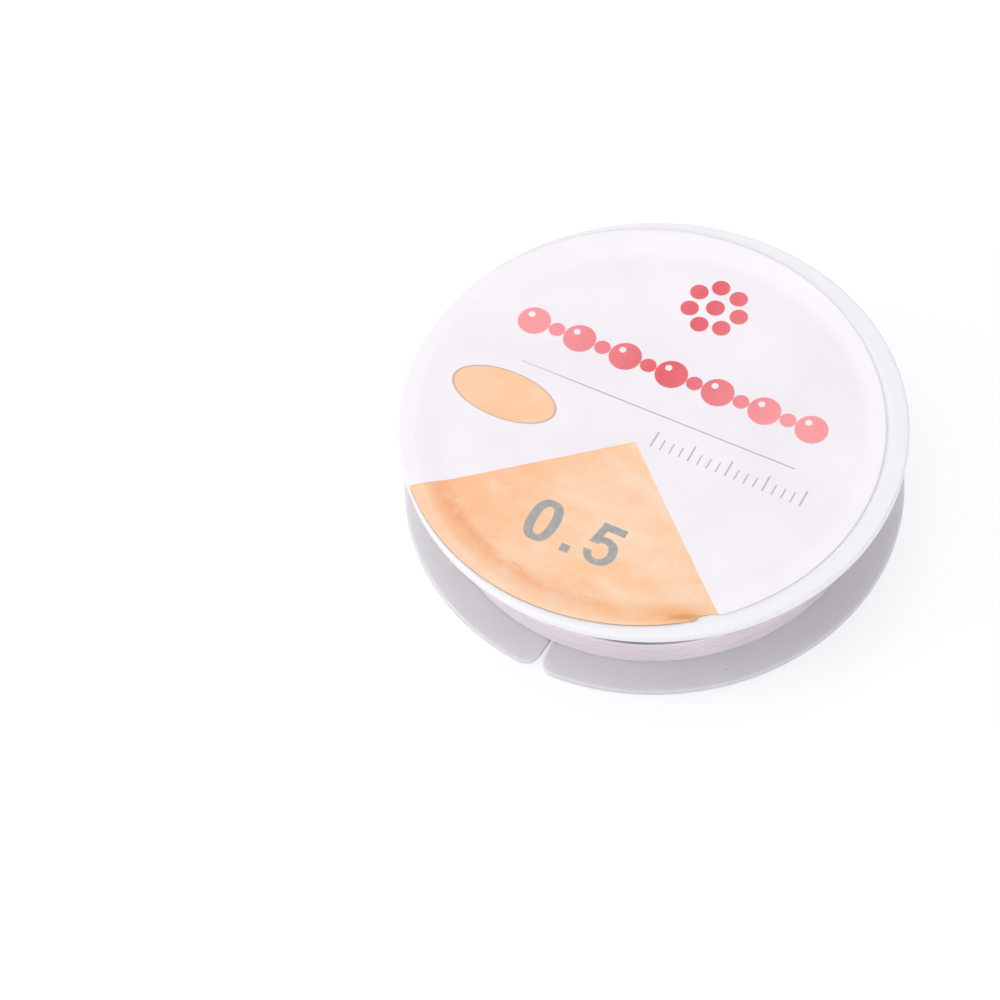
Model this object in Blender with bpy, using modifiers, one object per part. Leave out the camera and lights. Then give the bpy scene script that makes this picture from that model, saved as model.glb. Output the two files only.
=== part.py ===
"""A flat spool of clear monofilament fishing line, built as its separate pieces.

The piece list runs from the front: a paper label, the front flange moulded in one with the hub, the wound
line as an inner core and one drawn outer layer, the loose line end, and the rear flange that presses into
the hub.

Frame: metres, +Z up. The origin lies on the spool's axis at the rear flange's outer face, on which the
spool stands. +Z runs along the axis towards the label, and -Y is the side that faces the viewer.
"""

import math

import bmesh
import bpy
import numpy as np

MM = 0.001

# Both flanges
FLANGE_DIAMETER = 60.0 * MM
SPOOL_WIDTH = 12.5 * MM
EDGE_ROUND = 0.25 * MM

# Front flange: a flat rim, a short step inside it, then a gentle slope down to a flat floor
RIM_THICKNESS = 1.2 * MM
RIM_FLAT_WIDTH = 2.1 * MM
RIM_STEP_WIDTH = 0.4 * MM
RIM_STEP_DROP = 0.2 * MM
DISH_SLOPE_WIDTH = 2.3 * MM
DISH_SLOPE_DROP = 0.3 * MM

# Rear flange, with the slit that holds the line's end
REAR_FLANGE_THICKNESS = 0.8 * MM
SLIT_ANGLE = math.radians(-122.0)
SLIT_DEPTH = 4.8 * MM
SLIT_END_WIDTH = 0.3 * MM
SLIT_MOUTH_WIDTH = 0.9 * MM
SLIT_LIP_ROUND = 1.8 * MM

# Hub, its spindle boss and the ribs between them
HUB_DIAMETER = 34.0 * MM
HUB_WALL = 1.2 * MM
BOSS_BORE = 8.0 * MM
BOSS_WALL = 1.0 * MM
BOSS_RECESS = 0.5 * MM
RIB_COUNT = 6
RIB_THICKNESS = 0.9 * MM

# Collar on the rear flange, pressed into the hub's open end
COLLAR_HEIGHT = 2.5 * MM
COLLAR_WALL = 1.0 * MM
COLLAR_CHAMFER = 0.3 * MM

# Label: a round paper sticker, laid a little off centre
LABEL_DIAMETER = 57.3 * MM
LABEL_THICKNESS = 0.12 * MM
LABEL_SHIFT_X = -1.3 * MM
LABEL_SHIFT_Y = 0.31 * MM

# Wound line
LINE_DIAMETER = 0.5 * MM
WINDING_DIAMETER = 52.6 * MM
WINDING_CROWN = 0.3 * MM
LOOP_SPACING = 0.94 * MM
LINE_BEND = 1.0 * MM
LEAST_LINE_GAP = 0.4 * MM

# Where the outer layer comes up from the turns below it, and where its loose end leaves it
LAYER_START_ANGLE = math.radians(144.0)
LAYER_END_ANGLE = math.radians(72.0)

# Loose end: distance along the circumference, distance back from the front-most turn, and height over
# the turns' own centre line, in millimetres. It runs out, curls over itself once and lies back.
TAIL_ROUTE_MM = (
    (0.0, 0.0, 0.0),
    (1.2, 0.0, 0.0),
    (3.0, 0.1, 0.15),
    (5.5, 0.5, 0.5),
    (8.5, 1.2, 0.8),
    (11.5, 2.2, 0.85),
    (14.5, 3.5, 0.85),
    (17.2, 5.1, 0.85),
    (19.4, 6.7, 0.85),
    (21.7, 7.5, 0.85),
    (23.9, 6.9, 0.85),
    (24.9, 5.1, 0.85),
    (24.1, 3.2, 0.9),
    (22.0, 2.2, 1.1),
    (19.5, 2.5, 1.4),
    (17.6, 3.9, 1.65),
    (16.3, 5.7, 1.6),
    (14.6, 7.3, 1.2),
    (12.1, 8.2, 0.9),
    (9.0, 8.3, 0.85),
    (5.5, 7.9, 0.85),
    (2.0, 7.2, 0.85),
    (-1.5, 6.3, 0.85),
    (-5.0, 5.2, 0.85),
)
TAIL_POINT_STEP = 1.15 * MM

# Gaps between pieces that touch
FIT_GAP = 0.3 * MM
LABEL_GLUE_GAP = 0.1 * MM

# Fineness of the round shapes
TURN_STEPS = 96
EDGE_ARC_STEPS = 3
CROWN_STEPS = 6
LOOP_POINTS = 24
BEND_POINTS = 4
LIP_ARC_STEPS = 7
SLIT_END_STEPS = 4
MERGE_DISTANCE = 1e-6
SHARP_ANGLE = math.radians(35.0)
CUTTER_MARGIN = 2.0 * MM

# Sizes that follow from those above
FLANGE_RADIUS = FLANGE_DIAMETER / 2
RIM_INNER_RADIUS = FLANGE_RADIUS - RIM_FLAT_WIDTH
SLOPE_TOP_RADIUS = RIM_INNER_RADIUS - RIM_STEP_WIDTH
FLOOR_RADIUS = SLOPE_TOP_RADIUS - DISH_SLOPE_WIDTH
SLOPE_TOP = SPOOL_WIDTH - RIM_STEP_DROP
FLOOR_TOP = SLOPE_TOP - DISH_SLOPE_DROP
FRONT_INNER_FACE = SPOOL_WIDTH - RIM_THICKNESS
REAR_INNER_FACE = REAR_FLANGE_THICKNESS

HUB_RADIUS = HUB_DIAMETER / 2
HUB_INNER_RADIUS = HUB_RADIUS - HUB_WALL
HUB_END = REAR_INNER_FACE + FIT_GAP
BORE_RADIUS = BOSS_BORE / 2
BOSS_RADIUS = BORE_RADIUS + BOSS_WALL
COLLAR_RADIUS = HUB_INNER_RADIUS - FIT_GAP
OPENING_RADIUS = COLLAR_RADIUS - COLLAR_WALL
COLLAR_TOP = REAR_INNER_FACE + COLLAR_HEIGHT
RIB_END = COLLAR_TOP + FIT_GAP

LINE_RADIUS = LINE_DIAMETER / 2
FIRST_TURN_Z = REAR_INNER_FACE + FIT_GAP + LINE_RADIUS
LAST_TURN_Z = FRONT_INNER_FACE - FIT_GAP - LINE_RADIUS
CORE_REAR = REAR_INNER_FACE + FIT_GAP
CORE_FRONT = FRONT_INNER_FACE - FIT_GAP
SHOULDER_FRONT = FIRST_TURN_Z + LINE_RADIUS + FIT_GAP


# Collections, materials and small helpers


def clear_scene():
    for old in list(bpy.data.objects):
        bpy.data.objects.remove(old)


def new_collection(name):
    made = bpy.data.collections.new(name)
    bpy.context.scene.collection.children.link(made)
    return made


clear_scene()
SPOOL = new_collection("fishing_line_spool")
CUTTERS = new_collection("spool_cutters")


def material(name, colour, roughness, transmission=0.0):
    made = bpy.data.materials.new(name)
    made.use_nodes = True
    shader = made.node_tree.nodes["Principled BSDF"]
    shader.inputs["Base Color"].default_value = (*colour, 1.0)
    shader.inputs["Roughness"].default_value = roughness
    shader.inputs["Metallic"].default_value = 0.0
    shader.inputs["Transmission Weight"].default_value = transmission
    return made


MILKY_PLASTIC = material("milky_plastic", (0.90, 0.90, 0.93), 0.32, transmission=0.25)
LABEL_PAPER = material("label_paper", (0.92, 0.88, 0.91), 0.45)
WOUND_LINE = material("wound_line", (0.86, 0.82, 0.84), 0.30, transmission=0.2)
CLEAR_LINE = material("clear_line", (0.92, 0.90, 0.92), 0.12, transmission=0.7)


def keep_evaluated_mesh(obj):
    """Turns the object's modifiers into its mesh, shades it smooth and marks its sharp edges."""
    evaluated = obj.evaluated_get(bpy.context.evaluated_depsgraph_get())
    mesh = bpy.data.meshes.new_from_object(evaluated)
    obj.modifiers.clear()
    obj.data = mesh
    mesh.shade_smooth()
    mesh.set_sharp_from_angle(angle=SHARP_ANGLE)


def give_material(obj, finish):
    obj.data.materials.clear()
    obj.data.materials.append(finish)


def turned(name, profile, closed):
    """A profile of (radius, height) points, turned once about Z.

    An open profile starts and ends on the axis. Either runs down its outer side.
    """
    edges = [(i, i + 1) for i in range(len(profile) - 1)]
    if closed:
        edges.append((len(profile) - 1, 0))
    mesh = bpy.data.meshes.new(name)
    mesh.from_pydata([(radius, 0.0, height) for radius, height in profile], edges, [])
    obj = bpy.data.objects.new(name, mesh)
    SPOOL.objects.link(obj)
    turn = obj.modifiers.new("Turn", "SCREW")
    turn.steps = turn.render_steps = TURN_STEPS
    turn.use_merge_vertices = True
    turn.merge_threshold = MERGE_DISTANCE
    return obj


def arc(centre, radius, start, end, steps):
    """Points of an arc, its angles in degrees, ends included."""
    angles = np.radians(np.linspace(start, end, steps + 1))
    return [(centre[0] + radius * math.cos(a), centre[1] + radius * math.sin(a)) for a in angles]


def rounded_rim(top, bottom):
    """The flange's outer edge, from its top face round to its bottom face."""
    inside = FLANGE_RADIUS - EDGE_ROUND
    upper = arc((inside, top - EDGE_ROUND), EDGE_ROUND, 90, 0, EDGE_ARC_STEPS)
    lower = arc((inside, bottom + EDGE_ROUND), EDGE_ROUND, 0, -90, EDGE_ARC_STEPS)
    return upper + lower


def boolean(obj, cutter, operation):
    step = obj.modifiers.new(operation.title(), "BOOLEAN")
    step.operation = operation
    step.object = cutter
    step.solver = "EXACT"


def as_cutter(obj):
    for owner in list(obj.users_collection):
        owner.objects.unlink(obj)
    CUTTERS.objects.link(obj)
    obj.hide_render = True
    obj.display_type = "WIRE"


def tube(name, points, bevel_resolution):
    """A round line of LINE_DIAMETER along the points, its ends capped."""
    curve = bpy.data.curves.new(name, "CURVE")
    curve.dimensions = "3D"
    curve.twist_mode = "MINIMUM"
    curve.bevel_depth = LINE_RADIUS
    curve.bevel_resolution = bevel_resolution
    curve.use_fill_caps = True
    spline = curve.splines.new("POLY")
    spline.points.add(len(points) - 1)
    for point, place in zip(spline.points, points):
        point.co = (*place, 1.0)
    obj = bpy.data.objects.new(name, curve)
    SPOOL.objects.link(obj)
    return obj


# Front flange, hub, boss and ribs: one moulding, closed at the front and open at the rear


def front_flange_profile():
    face = [
        (0.0, FLOOR_TOP),
        (FLOOR_RADIUS, FLOOR_TOP),
        (SLOPE_TOP_RADIUS, SLOPE_TOP),
        (RIM_INNER_RADIUS, SPOOL_WIDTH),
    ]
    hub = [
        (HUB_RADIUS, FRONT_INNER_FACE),
        (HUB_RADIUS, HUB_END),
        (HUB_INNER_RADIUS, HUB_END),
        (HUB_INNER_RADIUS, FRONT_INNER_FACE),
    ]
    boss = [
        (BOSS_RADIUS, FRONT_INNER_FACE),
        (BOSS_RADIUS, BOSS_RECESS),
        (BORE_RADIUS, BOSS_RECESS),
        (BORE_RADIUS, FRONT_INNER_FACE),
        (0.0, FRONT_INNER_FACE),
    ]
    return face + rounded_rim(SPOOL_WIDTH, FRONT_INNER_FACE) + hub + boss


def hub_rib(number):
    """One rib from inside the boss's wall to inside the hub's wall, its top sunk in the front plate."""
    inner = BORE_RADIUS + BOSS_WALL / 2
    outer = HUB_RADIUS - HUB_WALL / 2
    top = FRONT_INNER_FACE + (FLOOR_TOP - FRONT_INNER_FACE) / 2
    bpy.ops.mesh.primitive_cube_add(size=1.0)
    rib = bpy.context.object
    rib.name = f"rib_blank_{number + 1}"
    rib.scale = (outer - inner, RIB_THICKNESS, top - RIB_END)
    rib.location = ((inner + outer) / 2, 0.0, (top + RIB_END) / 2)
    bpy.ops.object.transform_apply(location=True, rotation=False, scale=True)
    rib.rotation_euler.z = (number + 0.5) * math.tau / RIB_COUNT
    as_cutter(rib)
    return rib


def front_flange_hub():
    flange = turned("front_flange_hub", front_flange_profile(), closed=False)
    for number in range(RIB_COUNT):
        boolean(flange, hub_rib(number), "UNION")
    return flange


# Rear flange: a thin disc with a collar for the hub and a slit in its edge


def rear_flange_profile():
    collar = [
        (OPENING_RADIUS, COLLAR_TOP),
        (COLLAR_RADIUS - COLLAR_CHAMFER, COLLAR_TOP),
        (COLLAR_RADIUS, COLLAR_TOP - COLLAR_CHAMFER),
        (COLLAR_RADIUS, REAR_INNER_FACE),
    ]
    mouth = [
        (OPENING_RADIUS + EDGE_ROUND, 0.0),
        (OPENING_RADIUS, EDGE_ROUND),
    ]
    return collar + rounded_rim(REAR_INNER_FACE, 0.0) + mouth


def slit_lip(end_centre, end_half):
    """The arc that rounds one lip, from the slit's tapered side to the flange's edge, which it meets flush.

    The side starts at the inner end and opens by the taper. The arc's centre lies a lip radius off the
    side, and a lip radius inside the flange's edge.
    """
    taper = math.atan2((SLIT_MOUTH_WIDTH - SLIT_END_WIDTH) / 2, SLIT_DEPTH)
    off_side = end_half * math.cos(taper) - end_centre * math.sin(taper) + SLIT_LIP_ROUND
    along_side = math.sqrt((FLANGE_RADIUS - SLIT_LIP_ROUND) ** 2 - off_side**2)
    centre = (
        along_side * math.cos(taper) - off_side * math.sin(taper),
        along_side * math.sin(taper) + off_side * math.cos(taper),
    )
    start = math.degrees(taper) - 90
    end = math.degrees(math.atan2(centre[1], centre[0]))
    return arc(centre, SLIT_LIP_ROUND, start, end, LIP_ARC_STEPS)


def slit_outline():
    """The slit seen from the front, running out along +X: a rounded inner end, a taper and rounded lips."""
    end_half = SLIT_END_WIDTH / 2
    end_centre = FLANGE_RADIUS - SLIT_DEPTH + end_half
    inner_end = arc((end_centre, 0.0), end_half, 90, 270, SLIT_END_STEPS)
    upper_lip = slit_lip(end_centre, end_half)
    outside = (FLANGE_RADIUS + CUTTER_MARGIN) / FLANGE_RADIUS
    upper_corner = (upper_lip[-1][0] * outside, upper_lip[-1][1] * outside)
    upper_side = upper_lip + [upper_corner]
    lower_side = [(x, -y) for x, y in upper_side]
    return inner_end + lower_side + upper_side[::-1]


def slit_cutter():
    curve = bpy.data.curves.new("slit_outline", "CURVE")
    curve.dimensions = "2D"
    curve.fill_mode = "BOTH"
    curve.extrude = REAR_FLANGE_THICKNESS / 2 + CUTTER_MARGIN / 2
    outline = slit_outline()
    spline = curve.splines.new("POLY")
    spline.points.add(len(outline) - 1)
    spline.use_cyclic_u = True
    for point, (x, y) in zip(spline.points, outline):
        point.co = (x, y, 0.0, 1.0)
    flat = bpy.data.objects.new("slit_outline", curve)
    CUTTERS.objects.link(flat)
    bpy.context.view_layer.update()
    evaluated = flat.evaluated_get(bpy.context.evaluated_depsgraph_get())
    mesh = bpy.data.meshes.new_from_object(evaluated)
    bpy.data.objects.remove(flat)
    shape = bmesh.new()
    shape.from_mesh(mesh)
    bmesh.ops.remove_doubles(shape, verts=shape.verts, dist=MERGE_DISTANCE)
    bmesh.ops.recalc_face_normals(shape, faces=shape.faces)
    shape.to_mesh(mesh)
    shape.free()
    cutter = bpy.data.objects.new("slit_cutter", mesh)
    CUTTERS.objects.link(cutter)
    cutter.location.z = REAR_FLANGE_THICKNESS / 2
    cutter.rotation_euler.z = SLIT_ANGLE
    as_cutter(cutter)
    return cutter


def rear_flange():
    flange = turned("rear_flange", rear_flange_profile(), closed=True)
    boolean(flange, slit_cutter(), "DIFFERENCE")
    return flange


# Label: a sheet that follows the front face, cut round off the spool's axis


def label_profile():
    """The sheet's section: its printed side out to past the rim, then its glued side back to the axis."""
    beyond = FLANGE_RADIUS + CUTTER_MARGIN
    face = [
        (0.0, FLOOR_TOP),
        (FLOOR_RADIUS, FLOOR_TOP),
        (SLOPE_TOP_RADIUS, SLOPE_TOP),
        (RIM_INNER_RADIUS, SPOOL_WIDTH),
        (beyond, SPOOL_WIDTH),
    ]
    glued = [(radius, height + LABEL_GLUE_GAP) for radius, height in face]
    printed = [(radius, height + LABEL_THICKNESS) for radius, height in glued]
    return printed + glued[::-1]


def front_label():
    sheet = turned("front_label", label_profile(), closed=False)
    bpy.ops.mesh.primitive_cylinder_add(
        vertices=TURN_STEPS,
        radius=LABEL_DIAMETER / 2,
        depth=RIM_THICKNESS + 2 * CUTTER_MARGIN,
        location=(LABEL_SHIFT_X, LABEL_SHIFT_Y, SPOOL_WIDTH),
    )
    die = bpy.context.object
    die.name = "label_die"
    as_cutter(die)
    boolean(sheet, die, "INTERSECT")
    return sheet


# Wound line: a plain core for the inner turns, and the outer layer as one unbroken line


def turn_radius(height):
    """Distance of the outer turns' centre line from the axis, largest half way between the flanges."""
    across = (height - FIRST_TURN_Z) / (LAST_TURN_Z - FIRST_TURN_Z)
    return WINDING_DIAMETER / 2 - LINE_RADIUS - WINDING_CROWN * (2 * across - 1) ** 2


def core_radius(height):
    """The core's surface, a fit gap below the chords of the turns that lie on it."""
    return turn_radius(height) * math.cos(math.pi / LOOP_POINTS) - LINE_RADIUS - FIT_GAP


def shoulder_radius():
    """The low shoulder next to the rear flange, on which the line's inner end stands."""
    return turn_radius(FIRST_TURN_Z) - LINE_BEND - LINE_DIAMETER - FIT_GAP


def core_profile():
    inner = HUB_RADIUS + FIT_GAP
    crown = [(core_radius(z), z) for z in np.linspace(CORE_FRONT, SHOULDER_FRONT, CROWN_STEPS + 1)]
    shoulder = [(shoulder_radius(), SHOULDER_FRONT), (shoulder_radius(), CORE_REAR)]
    return [(inner, CORE_FRONT)] + crown + shoulder + [(inner, CORE_REAR)]


def on_cylinder(radius, angle, height):
    return (radius * math.cos(angle), radius * math.sin(angle), height)


def layer_points():
    """The outer layer: a short foot square to the core, a bend, then a steady helix to the front."""
    part_turn = (LAYER_END_ANGLE - LAYER_START_ANGLE) % math.tau / math.tau
    whole_turns = math.floor((LAST_TURN_Z - FIRST_TURN_Z) / LOOP_SPACING - part_turn)
    turns = whole_turns + part_turn
    steps = round(turns * LOOP_POINTS)
    radius = turn_radius(FIRST_TURN_Z)
    foot_angle = LAYER_START_ANGLE - LINE_BEND / radius
    outward = np.array((math.cos(foot_angle), math.sin(foot_angle), 0.0))
    along = np.array((-math.sin(foot_angle), math.cos(foot_angle), 0.0))
    lift = np.array((0.0, 0.0, FIRST_TURN_Z))
    bend_foot = radius - LINE_BEND
    points = [tuple(outward * (bend_foot - LINE_DIAMETER) + lift)]
    for bend in np.linspace(0.0, math.pi / 2, BEND_POINTS, endpoint=False):
        out = bend_foot + LINE_BEND * math.sin(bend)
        across = LINE_BEND * (1 - math.cos(bend))
        points.append(tuple(outward * out + along * across + lift))
    for step in range(steps + 1):
        share = step / steps
        angle = LAYER_START_ANGLE + share * turns * math.tau
        height = FIRST_TURN_Z + share * (LAST_TURN_Z - FIRST_TURN_Z)
        points.append(on_cylinder(turn_radius(height), angle, height))
    return points


def least_gap(points):
    """Smallest clear distance between stretches of the line that lie over a third of a turn apart."""
    places = np.array(points)
    apart = np.linalg.norm(places[:, None] - places[None, :], axis=2)
    number = np.arange(len(places))
    near_along = np.abs(number[:, None] - number[None, :]) < LOOP_POINTS // 3
    apart[near_along] = np.inf
    return apart.min() - LINE_DIAMETER


def line_outer_layer():
    points = layer_points()
    gap = least_gap(points)
    print(f"line_outer_layer: least gap between turns {gap / MM:.3f} mm")
    if gap <= LEAST_LINE_GAP:
        print("line_outer_layer: the turns lie too close together")
    return tube("line_outer_layer", points, bevel_resolution=1)


# Loose end of the line


def smooth_through(points, step):
    """Points every step along a Catmull-Rom curve through the given points."""
    knots = np.array(points)
    ends = [2 * knots[0] - knots[1], *knots, 2 * knots[-1] - knots[-2]]
    share = np.linspace(0.0, 1.0, 25)[:, None]
    fine = [knots[:1]]
    for before, start, end, after in zip(ends, ends[1:], ends[2:], ends[3:]):
        bend = 2 * before - 5 * start + 4 * end - after
        twist = 3 * (start - end) + after - before
        stretch = start + share * ((end - before) + share * (bend + share * twist)) / 2
        fine.append(stretch[1:])
    path = np.concatenate(fine)
    run = np.concatenate(([0.0], np.cumsum(np.linalg.norm(np.diff(path, axis=0), axis=1))))
    places = np.linspace(0.0, run[-1], round(run[-1] / step) + 1)
    return np.stack([np.interp(places, run, path[:, axis]) for axis in range(3)], axis=1), run[-1]


def tail_route():
    """The route's own points, wrapped on the winding from the outer layer's end."""
    start = FIT_GAP
    route = []
    for along, back, height in TAIL_ROUTE_MM:
        place = LAST_TURN_Z - back * MM
        radius = turn_radius(place) + height * MM
        angle = LAYER_END_ANGLE + (start + along * MM) / radius
        route.append(on_cylinder(radius, angle, place))
    return route


def line_tail():
    points, length = smooth_through(tail_route(), TAIL_POINT_STEP)
    print(f"line_tail: {length / MM:.1f} mm long, {len(points)} points")
    return tube("line_tail", [tuple(point) for point in points], bevel_resolution=2)


def build_spool():
    finishes = {
        front_flange_hub(): MILKY_PLASTIC,
        rear_flange(): MILKY_PLASTIC,
        front_label(): LABEL_PAPER,
        turned("line_core", core_profile(), closed=True): WOUND_LINE,
        line_outer_layer(): CLEAR_LINE,
        line_tail(): CLEAR_LINE,
    }
    bpy.context.view_layer.update()
    for obj, finish in finishes.items():
        if obj.type == "MESH":
            keep_evaluated_mesh(obj)
        give_material(obj, finish)


build_spool()
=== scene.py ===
"""The looks of a flat spool of clear nylon line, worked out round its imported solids.

The frame is the solids' own, in metres: +Z runs along the spool's axis towards the label, and -Y is the
side that faces the viewer. Sizes below are in millimetres and become metres when a mesh is made. Print
is laid out in millimetres in the label's own frame.
"""

import math

import bmesh
import bpy
import numpy as np
from mathutils import Matrix, Vector


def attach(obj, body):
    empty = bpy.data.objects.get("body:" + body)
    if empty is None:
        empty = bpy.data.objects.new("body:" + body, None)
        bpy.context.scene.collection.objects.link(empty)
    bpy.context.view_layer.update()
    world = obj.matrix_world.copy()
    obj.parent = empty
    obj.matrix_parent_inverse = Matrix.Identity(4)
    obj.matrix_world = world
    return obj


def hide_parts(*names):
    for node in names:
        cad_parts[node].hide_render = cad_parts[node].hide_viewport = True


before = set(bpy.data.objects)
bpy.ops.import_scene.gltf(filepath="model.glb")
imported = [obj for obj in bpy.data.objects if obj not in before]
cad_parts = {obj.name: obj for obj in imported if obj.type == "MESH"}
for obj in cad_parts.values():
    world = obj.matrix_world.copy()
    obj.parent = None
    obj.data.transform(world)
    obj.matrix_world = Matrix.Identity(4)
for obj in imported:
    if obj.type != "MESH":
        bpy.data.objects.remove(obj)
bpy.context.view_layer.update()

MM = 0.001

# Sizes that the solids have
FLANGE_RADIUS = 30.0
SPOOL_WIDTH = 12.5
EDGE_ROUND = 0.25
RIM_INNER_RADIUS = 27.9
SLOPE_TOP_RADIUS = 27.5
FLOOR_RADIUS = 25.2
SLOPE_TOP = 12.3
FLOOR_TOP = 12.0
FRONT_INNER_FACE = 11.3
REAR_INNER_FACE = 0.8
HUB_RADIUS = 17.0
HUB_INNER_RADIUS = 15.8
HUB_END = 1.1
BOSS_RADIUS = 5.0
BORE_RADIUS = 4.0
BOSS_END = 0.5
RIB_COUNT = 6
RIB_THICKNESS = 0.9
RIB_END = 3.6
COLLAR_RADIUS = 15.5
COLLAR_TOP = 3.3
COLLAR_CHAMFER = 0.3
OPENING_RADIUS = 14.5
SLIT_ANGLE = math.radians(-122.0)
SLIT_DEPTH = 4.8
SLIT_END_WIDTH = 0.3
SLIT_MOUTH_WIDTH = 0.9
SLIT_LIP_ROUND = 1.8
LABEL_RADIUS = 28.65
LABEL_CENTRE = (-1.3, 0.31)
LABEL_TURN = math.radians(-30.8)
LINE_RADIUS = 0.25
TURN_RADIUS = 26.05
WINDING_CROWN = 0.3
FIRST_TURN_Z = 1.35
LAST_TURN_Z = 10.75
LAYER_END_ANGLE = math.radians(72.0)

# Finer sizes: the rear flange's edges, the paper, its glue and its torn nick
REAR_EDGE_ROUND = 0.22
LABEL_THICKNESS = 0.08
LABEL_EDGE_ROUND = 0.02
GLUE_GAP = 0.01
TEAR_ANGLE = math.radians(-48.2)
TEAR_DEPTH = 0.55

# The loose end's route: along the circumference, back from the front-most turn, and height over the
# turns
TAIL_ROUTE = (
    (0.0, 0.0, 0.0),
    (1.2, 0.0, 0.0),
    (3.0, 0.1, 0.15),
    (5.5, 0.5, 0.5),
    (8.5, 1.2, 0.8),
    (11.5, 2.2, 0.85),
    (14.5, 3.5, 0.85),
    (17.2, 5.1, 0.85),
    (19.4, 6.7, 0.85),
    (21.7, 7.5, 0.85),
    (23.9, 6.9, 0.85),
    (24.9, 5.1, 0.85),
    (24.1, 3.2, 0.9),
    (22.0, 2.2, 1.1),
    (19.5, 2.5, 1.4),
    (17.6, 3.9, 1.65),
    (16.3, 5.7, 1.6),
    (14.6, 7.3, 1.2),
    (12.1, 8.2, 0.9),
    (9.0, 8.3, 0.85),
    (5.5, 7.9, 0.85),
    (2.0, 7.2, 0.85),
    (-1.5, 6.3, 0.85),
    (-5.0, 5.2, 0.85),
)

# The outer layer, and the last turns' way across it: share of their run, and height over the layer's
# front end
LAYER_TURNS = 17.4
LAYER_REAR = 1.12
LAYER_FRONT = 10.2
OVER_TURNS = 2.45
OVER_STOPS = (0.0, 0.05, 0.26, 0.30, 0.52, 0.57, 0.80, 0.84, 0.97, 1.0)
OVER_HEIGHTS = (0.0, 0.0, -7.6, -7.6, -0.4, -0.4, -4.6, -4.6, 0.5, 0.55)
LOWEST_LINE = 1.08
HIGHEST_LINE = 11.0

# How far the turns wander along the axis, and in and out: size, waves in a radian, phase
WANDER = ((0.050, 1.021, 0.7), (0.030, 2.043, 2.1), (0.018, 4.931, 0.0), (0.012, 11.07, 0.4))
RIPPLE = ((0.010, 13.13, 0.0), (0.008, 29.31, 1.0))

# How far the last turns climb on the layer, and more where they pass over each other
LAYER_CLIMB = 0.30
CROSSING_CLIMB = 0.45
CROSSING_WIDTH = 0.8

# The soft rises in the label: lift, place and sizes in the label's own frame, and turn
PAPER_RISES = (
    (0.07, (16.7, 15.0), (1.5, 0.9), 0.5),
    (0.030, (-8.0, -22.0), (6.0, 0.8), 0.36),
    (0.030, (2.0, -24.4), (6.0, 0.7), 0.02),
    (0.025, (13.5, -22.3), (4.0, 0.7), -0.5),
    (0.018, (21.0, -9.0), (5.0, 0.6), -1.1),
    (0.016, (18.0, -13.5), (5.0, 0.6), -0.9),
    (0.018, (-22.0, 6.0), (0.8, 5.0), -0.3),
    (0.016, (-12.0, 21.0), (5.0, 0.8), 0.5),
)

# The orange sector's tip, the directions of its two straight edges, and the stain's turn beside the
# torn nick, in the label's own frame
SECTOR_TIP = (0.49, -2.84)
SECTOR_LEFT = math.atan2(-17.0, -20.1)
SECTOR_RIGHT = math.atan2(-17.5, 19.3)
STAIN_TURN = math.radians(27.0)

# Softboxes: name, place and sizes in metres, watts and tint
STUDIO_LAMPS = (
    ("top", (-0.10, 0.20, 0.90), (0.90, 0.70), 2.54, (0.98, 0.98, 1.0)),
    ("front", (0.20, -0.84, 0.24), (0.40, 0.30), 2.1, (1.0, 0.975, 0.98)),
    ("side", (-0.66, 0.02, 0.24), (0.50, 0.40), 2.0, (0.98, 0.98, 1.0)),
    ("back", (0.10, 0.66, 0.50), (0.45, 0.35), 0.6, (0.97, 0.97, 1.0)),
)

LAMP_AIM_HEIGHT = 6.0

# Fineness
FLANGE_COLUMNS = 256
FACE_RING_RADIUS = 24.0
CORNER_STEPS = 5
LIP_STEPS = 12
SLIT_END_STEPS = 5
STEPS_PER_TURN = 240
BODY_ROWS = 260
LINE_SIDES = 10
LABEL_RINGS = 90
GLUED_RINGS = 40
LABEL_COLUMNS = 480
RING_CROWDING = 0.8
ROUNDING_STEPS = 15
TAIL_STEPS = 12
MERGE_DISTANCE = 1e-8


# Meshes from numpy grids


def grid_quads(rows, columns, rows_close, columns_close):
    """Quads of a grid whose point (row, column) is number row * columns + column.

    A closed direction joins its last line of points to its first.
    """
    row, column = np.meshgrid(
        np.arange(rows if rows_close else rows - 1),
        np.arange(columns if columns_close else columns - 1),
        indexing="ij",
    )
    next_row, next_column = (row + 1) % rows, (column + 1) % columns
    corners = (
        row * columns + column,
        row * columns + next_column,
        next_row * columns + next_column,
        next_row * columns + column,
    )
    return np.stack(corners, axis=-1).reshape(-1, 4)


def mesh_piece(name, points, quads, attributes=None):
    """A piece from points in millimetres and quads, its poles welded and its faces turned outwards."""
    mesh = bpy.data.meshes.new(name)
    mesh.from_pydata((np.asarray(points, float) * MM).tolist(), [], quads.tolist())
    for label, values in (attributes or {}).items():
        layer = mesh.attributes.new(label, "FLOAT", "POINT")
        layer.data.foreach_set("value", np.asarray(values, np.float32).ravel())
    shape = bmesh.new()
    shape.from_mesh(mesh)
    bmesh.ops.remove_doubles(shape, verts=shape.verts, dist=MERGE_DISTANCE)
    bmesh.ops.recalc_face_normals(shape, faces=shape.faces)
    shape.to_mesh(mesh)
    shape.free()
    mesh.shade_smooth()
    piece = bpy.data.objects.new(name, mesh)
    bpy.context.scene.collection.objects.link(piece)
    return piece


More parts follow.
